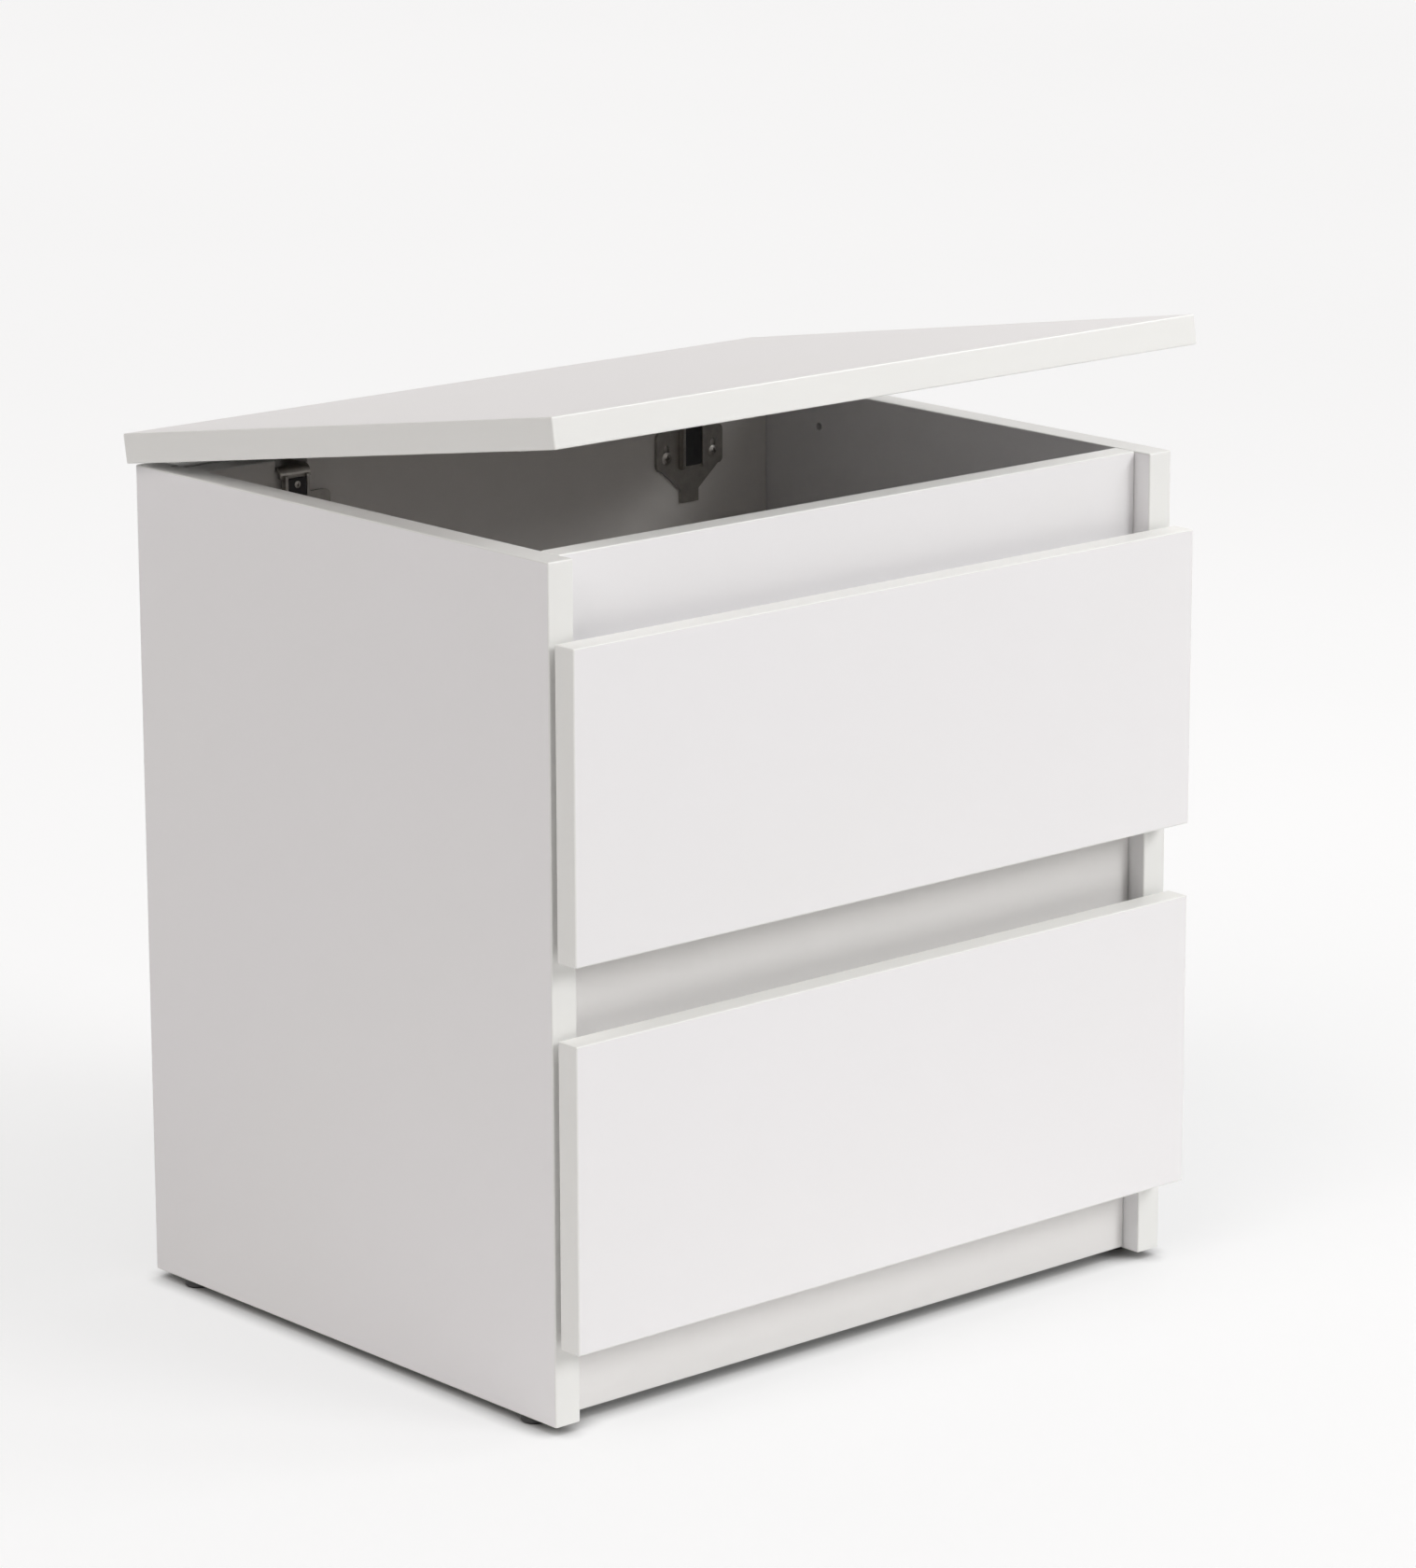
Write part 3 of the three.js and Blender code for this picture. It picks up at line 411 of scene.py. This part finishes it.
# Melamine board with an edge band, for one board
def melamine_board(name, turn=0.0):
    middle, half = board_measure(name, turn)
    material, tree, shader = start_material(f"melamine {name}")
    vector = board_coordinates(tree, middle, turn)
    edges = place_group(tree, BANDED_EDGE, vector, Half_Size=half, Unbanded_Axis=thin_axis(half))
    # Boards that lie in shade take a painted shade tone in place of the face white
    drift = place_group(
        tree, TONE_DRIFT, vector,
        Spots_Per_Metre=5.0, Main_Tone=SHADE_TINTED_BOARDS.get(name, FACE_WHITE),
        Other_Tone=BAND_WHITE, Amount=0.25,
    )
    pearl = place_group(tree, PEARL_TEXTURE, vector, Pebbles_Per_Metre=1 / PEARL_SIZE)
    banded = mix_colour(tree, edges.outputs["Edge"], drift.outputs["Color"], BAND_WHITE)
    faint_line = math_node(tree, "MULTIPLY", edges.outputs["Line"], GLUE_LINE_STRENGTH)
    colour = mix_colour(tree, faint_line, banded, GLUE_GREY)
    tree.links.new(colour, shader.inputs["Base Color"])
    rough = roughness_span(tree, pearl.outputs["Mask"], BOARD_ROUGHNESS)
    smoother = math_node(tree, "MULTIPLY", edges.outputs["Edge"], BAND_SMOOTHER)
    tree.links.new(math_node(tree, "SUBTRACT", rough, smoother), shader.inputs["Roughness"])
    bump(tree, pearl.outputs["Height"], shader, depth=0.02 * MM, strength=0.5)
    return material


# Lacquered hardboard: white faces, brown cut edges
def lacquered_hardboard(name):
    middle, half = board_measure(name, 0.0)
    material, tree, shader = start_material(f"hardboard {name}")
    vector = board_coordinates(tree, middle, 0.0)
    edges = place_group(
        tree, BANDED_EDGE, vector,
        Half_Size=half, Unbanded_Axis=thin_axis(half), Band_Thickness=CUT_EDGE,
    )
    drift = place_group(
        tree, TONE_DRIFT, vector,
        Spots_Per_Metre=14.0, Main_Tone=LACQUER_WHITE, Other_Tone=BAND_WHITE, Amount=0.5,
    )
    fibres = place_group(tree, PEARL_TEXTURE, vector, Pebbles_Per_Metre=520.0)
    colour = mix_colour(tree, edges.outputs["Edge"], drift.outputs["Color"], FIBRE_BROWN)
    tree.links.new(colour, shader.inputs["Base Color"])
    rough = roughness_span(tree, fibres.outputs["Mask"], HARDBOARD_ROUGHNESS)
    tree.links.new(rough, shader.inputs["Roughness"])
    bump(tree, fibres.outputs["Height"], shader, depth=0.05 * MM, strength=0.6)
    return material


# Plated steel, with lines along the direction in which it was rolled or drawn
def plated_steel(name, bright, dull, lines_per_metre, roughness):
    dulling = 0.25
    material, tree, shader = start_material(name)
    vector = object_coordinates(tree)
    drift = place_group(
        tree, TONE_DRIFT, vector,
        Spots_Per_Metre=160.0, Main_Tone=bright, Other_Tone=dull, Amount=0.45,
    )
    lines = place_group(tree, DRAWN_LINES, vector, Lines_Per_Metre=lines_per_metre)
    dulled = math_node(tree, "MULTIPLY", lines.outputs["Mask"], dulling)
    colour = mix_colour(tree, dulled, drift.outputs["Color"], dull)
    tree.links.new(colour, shader.inputs["Base Color"])
    rough = roughness_span(tree, lines.outputs["Mask"], roughness)
    tree.links.new(rough, shader.inputs["Roughness"])
    shader.inputs["Metallic"].default_value = 1.0
    bump(tree, lines.outputs["Height"], shader, depth=0.01 * MM, strength=0.4)
    return material


# Moulded piece: two tones that drift into each other and a fine grain
def moulded(name, main, other, spots, grains, roughness, depth, strength):
    material, tree, shader = start_material(name)
    vector = object_coordinates(tree)
    drift = place_group(
        tree, TONE_DRIFT, vector,
        Spots_Per_Metre=spots, Main_Tone=main, Other_Tone=other, Amount=0.6,
    )
    grain = place_group(tree, PEARL_TEXTURE, vector, Pebbles_Per_Metre=grains)
    tree.links.new(drift.outputs["Color"], shader.inputs["Base Color"])
    rough = roughness_span(tree, grain.outputs["Mask"], roughness)
    tree.links.new(rough, shader.inputs["Roughness"])
    bump(tree, grain.outputs["Height"], shader, depth, strength)
    return material


def moulded_plastic():
    return moulded(
        "black moulded plastic", PLASTIC_BLACK, PLASTIC_WORN,
        spots=220.0, grains=2400.0, roughness=PLASTIC_ROUGHNESS, depth=0.02 * MM, strength=0.6,
    )


def clear_pad():
    material = moulded(
        "clear soft pad", PAD_CLEAR, PAD_CLOUD,
        spots=300.0, grains=1800.0, roughness=PAD_ROUGHNESS, depth=0.01 * MM, strength=0.4,
    )
    shader = principled(material.node_tree)
    shader.inputs["Transmission Weight"].default_value = 0.7
    shader.inputs["IOR"].default_value = 1.48
    return material


# The nickel's dark tones paint the shade and dim reflections of the hinges and their screws under the lid
NICKEL = plated_steel("nickel plated steel", NICKEL_SHADED_TONE, NICKEL_SHADED_DULL, STAMPED, NICKEL_ROUGHNESS)
ZINC = plated_steel("zinc plated steel", ZINC_TONE, ZINC_DULL, ROLLED_ALONG_Y, ZINC_ROUGHNESS)
BALL_STEEL = plated_steel("oiled ball steel", BALL_TONE, BALL_OILED, STAMPED, BALL_ROUGHNESS)
PLASTIC = moulded_plastic()
PAD = clear_pad()
SLOT_FINISHES = {
    "nickel_steel": NICKEL,
    "zinc_steel": ZINC,
    "black_plastic": PLASTIC,
    "clear_rubber": PAD,
}


# Every CAD node takes the finish of its slot in the record.
def finish_node(name, slot):
    if slot == "white_melamine":
        return melamine_board(name, -LID_OPEN if name == "lid_panel" else 0.0)
    if slot == "white_hardboard":
        return lacquered_hardboard(name)
    return SLOT_FINISHES[slot]


for part in frame["record"]["subparts"]:
    mesh = frame["nodes"][part["node"]].data
    mesh.materials.clear()
    mesh.materials.append(finish_node(part["node"], part["material_slot"]))


# New pieces
def keep_piece(name, bm, body, material, sharp_degrees=35):
    for edge in bm.edges:
        edge.smooth = edge.calc_face_angle(0) < math.radians(sharp_degrees)
    for face in bm.faces:
        face.smooth = True
    mesh = bpy.data.meshes.new(name)
    bm.to_mesh(mesh)
    bm.free()
    mesh.materials.append(material)
    piece = bpy.data.objects.new(name, mesh)
    bpy.context.scene.collection.objects.link(piece)
    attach(piece, body)
    return piece


def new_vertices(made):
    return [item for item in made["geom"] if isinstance(item, bmesh.types.BMVert)]


# A turn that carries +Z onto the direction that a head faces
def facing(direction, spot):
    turn = Vector(direction).to_track_quat("Z", "Y").to_matrix().to_4x4()
    return Matrix.Translation(spot) @ turn


# Domed screw head with a cross recess: a grid whose rim is drawn out to a circle
def cross_head(radius, rise):
    bm = bmesh.new()
    bmesh.ops.create_grid(bm, x_segments=5, y_segments=5, size=1)
    place_grid_lines(bm)
    cross = [face for face in bm.faces if in_cross(face.calc_center_median())]
    dome_head(bm, rise / radius)
    floor = new_vertices(bmesh.ops.extrude_face_region(bm, geom=cross))
    bmesh.ops.delete(bm, geom=cross, context="FACES_ONLY")
    bmesh.ops.translate(bm, verts=floor, vec=(0, 0, -CROSS_DEPTH))
    bmesh.ops.scale(bm, verts=floor, vec=(CROSS_TAPER, CROSS_TAPER, 1))
    rim = [edge for edge in bm.edges if edge.is_boundary]
    for vertex in new_vertices(bmesh.ops.extrude_edge_only(bm, edges=rim)):
        vertex.co.z = -SKIRT_DEPTH
    bmesh.ops.recalc_face_normals(bm, faces=bm.faces)
    bmesh.ops.scale(bm, verts=bm.verts, vec=(radius, radius, radius))
    return bm


# The even lines of a 5 by 5 grid go to the sides of the cross, its ends and the rim.
def place_grid_lines(bm):
    lines = {0.2: CROSS_HALF_WIDTH, 0.6: CROSS_REACH, 1.0: 1.0}
    for vertex in bm.verts:
        for axis in (0, 1):
            near = min(lines, key=lambda line: abs(line - abs(vertex.co[axis])))
            vertex.co[axis] = math.copysign(lines[near], vertex.co[axis])
        if vertex.is_boundary:
            vertex.co.normalize()


def in_cross(middle):
    across, along = sorted((abs(middle.x), abs(middle.y)))
    return across < CROSS_HALF_WIDTH and along < CROSS_REACH


def dome_head(bm, rise):
    for vertex in bm.verts:
        reach = min(1.0, vertex.co.xy.length)
        vertex.co.z = rise * (1 - DOME_FALL * reach * reach)


def add_screw(name, body, spot, direction, size, slot="nickel_steel", lean=None):
    bm = cross_head(*size)
    placing = facing(direction, spot)
    if lean:
        placing = lean @ placing
    bmesh.ops.transform(bm, matrix=placing, verts=bm.verts)
    return keep_piece(name, bm, body, SLOT_FINISHES[slot])


# The lid is drawn closed and leaned open about its pins.
LID_LEAN = (
    Matrix.Translation(PIVOT)
    @ Matrix.Rotation(-LID_OPEN, 4, "X")
    @ Matrix.Translation(-PIVOT)
)
LID_CLOSED = LID_LEAN.inverted()


def closed_box(name):
    return box_of([LID_CLOSED @ vertex.co for vertex in frame["nodes"][name].data.vertices])


def add_plate_screws(label, middle):
    low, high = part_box(f"hinge_plate_{label}")
    height = high.z - PLATE_SCREW_DROP
    for number, side in enumerate((-1, 1), 1):
        spot = Vector((middle + side * PLATE_SCREW_REACH, low.y, height))
        add_screw(f"hinge_plate_screw_{label}_{number}", "carcass", spot, FORWARD, PLATE_SCREW)


def add_cap_screw(label, middle):
    low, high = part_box(f"hinge_cap_{label}")
    spot = Vector((middle, low.y, high.z - CAP_SCREW_DROP))
    add_screw(f"hinge_cap_screw_{label}", "carcass", spot, FORWARD, CAP_SCREW)


def add_leaf_screws(label, middle):
    low, high = closed_box(f"hinge_leaf_{label}")
    front = low.y + LEAF_SCREW_SETBACK
    for number, (across, along) in enumerate(((-1, 0), (1, 0), (-1, 1), (1, 1)), 1):
        spot = Vector((
            middle + across * LEAF_SCREW_REACH,
            front + along * LEAF_SCREW_PITCH,
            high.z - LEAF_STEEL,
        ))
        name = f"hinge_leaf_screw_{label}_{number}"
        add_screw(name, "lid", spot, DOWN, LEAF_SCREW, lean=LID_LEAN)


def add_hinge_screws():
    for label, _ in SIDES:
        low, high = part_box(f"hinge_plate_{label}")
        middle = (low.x + high.x) / 2
        add_plate_screws(label, middle)
        add_cap_screw(label, middle)
        add_leaf_screws(label, middle)


def add_drawer_front_screws():
    for level in LEVELS:
        low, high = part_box(f"{level}_drawer_inner_front")
        middle = (low.z + high.z) / 2
        reach = (high.z - low.z) * FRONT_SCREW_SHARE
        for label, side in SIDES:
            for number, rise in enumerate((-reach, reach), 1):
                spot = Vector((side * FRONT_SCREW_REACH, high.y, middle + rise))
                name = f"{level}_front_screw_{label}_{number}"
                add_screw(name, f"{level}_drawer", spot, BACKWARD, FRONT_SCREW, slot="zinc_steel")


# A strip of sheet metal bent along its length, which runs along Y
def bent_strip(corners, front, length, steel, bend):
    bm = bmesh.new()
    points = [bm.verts.new((x, front, z)) for x, z in corners]
    edges = [bm.edges.new(pair) for pair in zip(points, points[1:])]
    far = new_vertices(bmesh.ops.extrude_edge_only(bm, edges=edges))
    bmesh.ops.translate(bm, verts=far, vec=(0, length, 0))
    folds = [edge for edge in bm.edges if len(edge.link_faces) == 2]
    bmesh.ops.bevel(
        bm, geom=folds, offset=bend, segments=2, profile=0.5, affect="EDGES", material=-1,
    )
    bmesh.ops.solidify(bm, geom=bm.faces[:], thickness=steel)
    bmesh.ops.recalc_face_normals(bm, faces=bm.faces)
    return bm


def balls_at(spots):
    bm = bmesh.new()
    for spot in spots:
        bmesh.ops.create_uvsphere(
            bm, u_segments=8, v_segments=6, radius=BALL_RADIUS, matrix=Matrix.Translation(spot),
        )
    return bm


# One set of balls between two members: a row above, a row below, and the cage that spaces them.
# It is drawn for the right side, and turned over for the left.
def add_ball_set(name, body, side, level, rise, mouth, web, front):
    cage = bent_strip(
        [(mouth, rise), (web, rise), (web, -rise), (mouth, -rise)],
        front, CAGE_LENGTH, CAGE_STEEL, CAGE_BEND,
    )
    bmesh.ops.translate(cage, verts=cage.verts, vec=(0, 0, level))
    first = front + (CAGE_LENGTH - (BALLS_PER_ROW - 1) * BALL_PITCH) / 2
    balls = balls_at([
        (mouth + BALL_FROM_MOUTH, first + number * BALL_PITCH, level + way * rise)
        for number in range(BALLS_PER_ROW)
        for way in (-1, 1)
    ])
    for bm in (cage, balls):
        bmesh.ops.scale(bm, verts=bm.verts, vec=(side, 1, 1))
        bmesh.ops.recalc_face_normals(bm, faces=bm.faces)
    keep_piece(f"{name}_cage", cage, body, ZINC)
    keep_piece(f"{name}_balls", balls, body, BALL_STEEL, sharp_degrees=80)


# How near and how far from the middle a runner member reaches, with its box
def member_span(level, member, label):
    low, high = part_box(f"{level}_runner_{member}_member_{label}")
    near, far = sorted((abs(low.x), abs(high.x)))
    return near, far, low, high


def add_runner_balls(level, label, side):
    _, wall, _, top = member_span(level, "cabinet", label)
    mouth, web, low, high = member_span(level, "middle", label)
    _, drawer_mouth, _, drawer_top = member_span(level, "drawer", label)
    middle = (low.z + high.z) / 2
    outer_rise = (top.z - RUNNER_STEEL + high.z) / 2 - middle
    outer_web = (wall - RUNNER_STEEL + web) / 2
    inner_rise = (high.z - RUNNER_STEEL + drawer_top.z) / 2 - middle
    inner_web = (web - RUNNER_STEEL + drawer_mouth) / 2
    body = f"{level}_runner_middle"
    add_ball_set(
        f"{level}_runner_outer_{label}", body, side, middle, outer_rise,
        mouth, outer_web, front=high.y - CAGE_FROM_END - CAGE_LENGTH,
    )
    add_ball_set(
        f"{level}_runner_inner_{label}", body, side, middle, inner_rise,
        mouth, inner_web, front=low.y + CAGE_FROM_END,
    )


def add_runner_screws(level, label, side):
    near, _, low, high = member_span(level, "drawer", label)
    middle = (low.z + high.z) / 2
    for number, setback in enumerate(RUNNER_SCREW_SETBACKS, 1):
        spot = Vector((side * (near + RUNNER_STEEL), low.y + setback, middle))
        name = f"{level}_runner_screw_{label}_{number}"
        add_screw(name, f"{level}_drawer", spot, (side, 0, 0), RUNNER_SCREW, slot="zinc_steel")


def each_runner(add):
    for level in LEVELS:
        for label, side in SIDES:
            add(level, label, side)


def nail_head(spot):
    bm = bmesh.new()
    bmesh.ops.create_circle(bm, cap_ends=True, segments=12, radius=NAIL_RADIUS)
    bmesh.ops.inset_region(bm, faces=bm.faces[:], thickness=NAIL_SLOPE, depth=NAIL_RISE)
    bmesh.ops.recalc_face_normals(bm, faces=bm.faces)
    bmesh.ops.transform(bm, matrix=facing(BACKWARD, spot), verts=bm.verts)
    return bm


# Nails that hold the back panel to the boards in front of it
def add_back_nails():
    _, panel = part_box("back_panel")
    for board in ("rear_plinth_board", "compartment_floor"):
        low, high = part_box(board)
        height = (low.z + high.z) / 2
        for number, across in enumerate(NAIL_PLACES, 1):
            nail = nail_head(Vector((across, panel.y, height)))
            keep_piece(f"{board}_nail_{number}", nail, "carcass", ZINC)


add_hinge_screws()
add_drawer_front_screws()
each_runner(add_runner_balls)
each_runner(add_runner_screws)
add_back_nails()


# Floor, world, lamps and camera
def link_new(name, data):
    new = bpy.data.objects.new(name, data)
    bpy.context.scene.collection.objects.link(new)
    return new


# How open the floor is: 1 far from the nightstand, less within the reach. It sets where shade is painted on the
# floor.
def openness(tree, reach):
    node = tree.nodes.new("ShaderNodeAmbientOcclusion")
    node.samples = 8
    node.inputs["Distance"].default_value = reach
    return node.outputs["AO"]


# 1 where a ray shows the surface to the eye, 0 where it only brings light
def shown(tree):
    path = tree.nodes.new("ShaderNodeLightPath")
    seen = math_node(tree, "ADD", path.outputs["Is Camera Ray"], path.outputs["Is Glossy Ray"])
    return math_node(tree, "ADD", seen, path.outputs["Is Transmission Ray"], clamp=True)


# The floor takes light as a white one does and shows a darker tone with a glow of its own. The glow is taken away
# close to the nightstand, which paints a dark contact shadow under its edges and a broad soft shade on the floor
# around it.
def floor_material():
    material, tree, shader = start_material("pale studio floor")
    drift = place_group(
        tree, TONE_DRIFT, object_coordinates(tree),
        Spots_Per_Metre=0.8, Main_Tone=FLOOR_SEEN, Other_Tone=FLOOR_SHADE, Amount=1.0,
    )
    seen = shown(tree)
    colour = mix_colour(tree, seen, FLOOR_WHITE, drift.outputs["Color"])
    tree.links.new(colour, shader.inputs["Base Color"])
    shader.inputs["Roughness"].default_value = 0.9
    shader.inputs["Specular IOR Level"].default_value = 0.1
    # Painted contact shadow: the glow drops to nothing under and right beside the nightstand
    line = map_range(tree, openness(tree, CONTACT_SHADOW_REACH), *CONTACT_SHADOW_SPAN, 0, FLOOR_LIFT)
    # Painted broad shade: the glow dims to BROAD_SHADE of its strength over a wider reach around the nightstand
    shade = map_range(tree, openness(tree, SHADE_REACH), *SHADE_SPAN, BROAD_SHADE, 1)
    strength = math_node(tree, "MULTIPLY", line, shade)
    lift = tree.nodes.new("ShaderNodeEmission")
    tree.links.new(math_node(tree, "MULTIPLY", seen, strength), lift.inputs["Strength"])
    both = tree.nodes.new("ShaderNodeAddShader")
    tree.links.new(shader.outputs[0], both.inputs[0])
    tree.links.new(lift.outputs[0], both.inputs[1])
    output = next(node for node in tree.nodes if node.type == "OUTPUT_MATERIAL")
    tree.links.new(both.outputs[0], output.inputs["Surface"])
    return material


def add_floor():
    bm = bmesh.new()
    bmesh.ops.create_grid(bm, x_segments=8, y_segments=8, size=FLOOR_HALF_SIZE)
    mesh = bpy.data.meshes.new("floor")
    bm.to_mesh(mesh)
    bm.free()
    mesh.materials.append(floor_material())
    floor = link_new("floor", mesh)


def set_world():
    world = bpy.data.worlds.new("studio")
    bpy.context.scene.world = world
    world.use_nodes = True
    tree = world.node_tree
    background = next(node for node in tree.nodes if node.type == "BACKGROUND")
    background.inputs["Color"].default_value = WORLD_TONE
    strength = map_range(tree, shown(tree), 0, 1, WORLD_STRENGTH, BACKDROP_STRENGTH)
    tree.links.new(strength, background.inputs["Strength"])


def lamp_turn(towards):
    return towards.to_track_quat("Z", "Y").to_euler()


def add_softbox(name, power, size, place, target, colour=(1, 1, 1)):
    lamp = bpy.data.lights.new(name, "AREA")
    lamp.energy = power
    lamp.size = size
    lamp.color = colour
    light = link_new(name, lamp)
    light.location = place
    light.rotation_euler = lamp_turn(Vector(place) - Vector(target))


# Azimuth 0 is straight in front of the drawers, and the angle is the lamp's apparent width.
def add_sun(name, strength, angle, azimuth, elevation, colour):
    lamp = bpy.data.lights.new(name, "SUN")
    lamp.energy = strength
    lamp.angle = math.radians(angle)
    lamp.color = colour
    light = link_new(name, lamp)
    flat = math.cos(math.radians(elevation))
    towards = Vector((
        flat * math.sin(math.radians(azimuth)),
        -flat * math.cos(math.radians(azimuth)),
        math.sin(math.radians(elevation)),
    ))
    light.rotation_euler = lamp_turn(towards)


def add_lamps():
    add_sun("key lamp", strength=1.40, angle=25, azimuth=25, elevation=30, colour=(1, 0.995, 1))
    add_sun("left fill", strength=1.33, angle=40, azimuth=-75, elevation=45, colour=(1, 0.96, 0.95))
    add_sun("rear fill", strength=0.12, angle=60, azimuth=170, elevation=35, colour=(1, 0.98, 0.97))
    add_softbox("right softbox", power=13.2, size=0.8, place=(1.6, -1.2, 2.0), target=(0.1, -0.2, 0.4))
    add_softbox("right rear softbox", power=2.2, size=0.8, place=(1.5, 0.9, 1.5), target=(0, 0, 0.5))


def add_camera():
    yaw = math.radians(CAMERA_YAW)
    pitch = math.radians(CAMERA_PITCH)
    roll = math.radians(CAMERA_ROLL)
    forward = Vector((
        math.sin(yaw) * math.cos(pitch),
        math.cos(yaw) * math.cos(pitch),
        -math.sin(pitch),
    ))
    level = Vector((math.cos(yaw), -math.sin(yaw), 0))
    upright = level.cross(forward)
    right = level * math.cos(roll) + upright * math.sin(roll)
    up = right.cross(forward)
    data = bpy.data.cameras.new("camera")
    data.lens = FOCAL_PIXELS / IMAGE_HEIGHT * data.sensor_width
    data.clip_end = 60
    camera = link_new("camera", data)
    turn = Matrix((right, up, -forward)).transposed().to_4x4()
    camera.matrix_world = Matrix.Translation(CAMERA_PLACE) @ turn
    bpy.context.scene.camera = camera


add_floor()
set_world()
add_lamps()
add_camera()
bpy.context.scene.view_settings.view_transform = "Standard"
